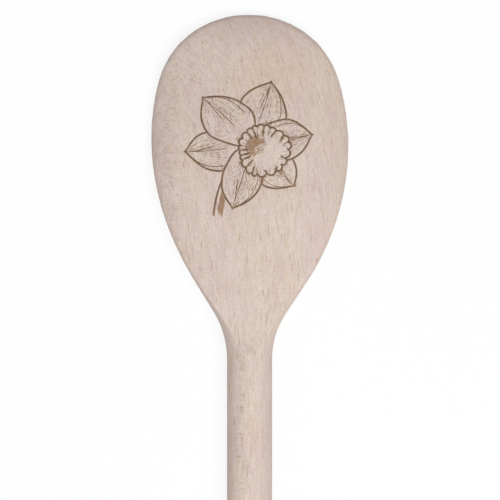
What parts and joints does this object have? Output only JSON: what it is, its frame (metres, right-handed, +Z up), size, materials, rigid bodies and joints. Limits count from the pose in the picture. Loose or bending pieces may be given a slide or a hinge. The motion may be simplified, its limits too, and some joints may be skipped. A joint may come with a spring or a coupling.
{
  "type": "wooden spoon",
  "caption": "One-piece beech kitchen spoon with a round handle, a dished bowl and a daffodil line drawing burnt into the bowl's back.",
  "frame": {"origin": "under the middle of the spoon's length, on the flat surface that the rim of the bowl rests on", "axes": "+Y along the handle towards the bowl's tip, +Z up out of the back of the bowl, +X to the right across the bowl"},
  "size_m": [0.0617, 0.2996, 0.0143],
  "materials": {
    "beech": "bare beech, turned and sanded smooth, with no oil or varnish",
    "burnt_beech": "matt brown char on the floor of fine burnt lines"
  },
  "bodies": {
    "root": {"spoon": "beech", "burnt_petals": "burnt_beech", "burnt_trumpet": "burnt_beech", "burnt_stem": "burnt_beech"}
  },
  "joints": []
}
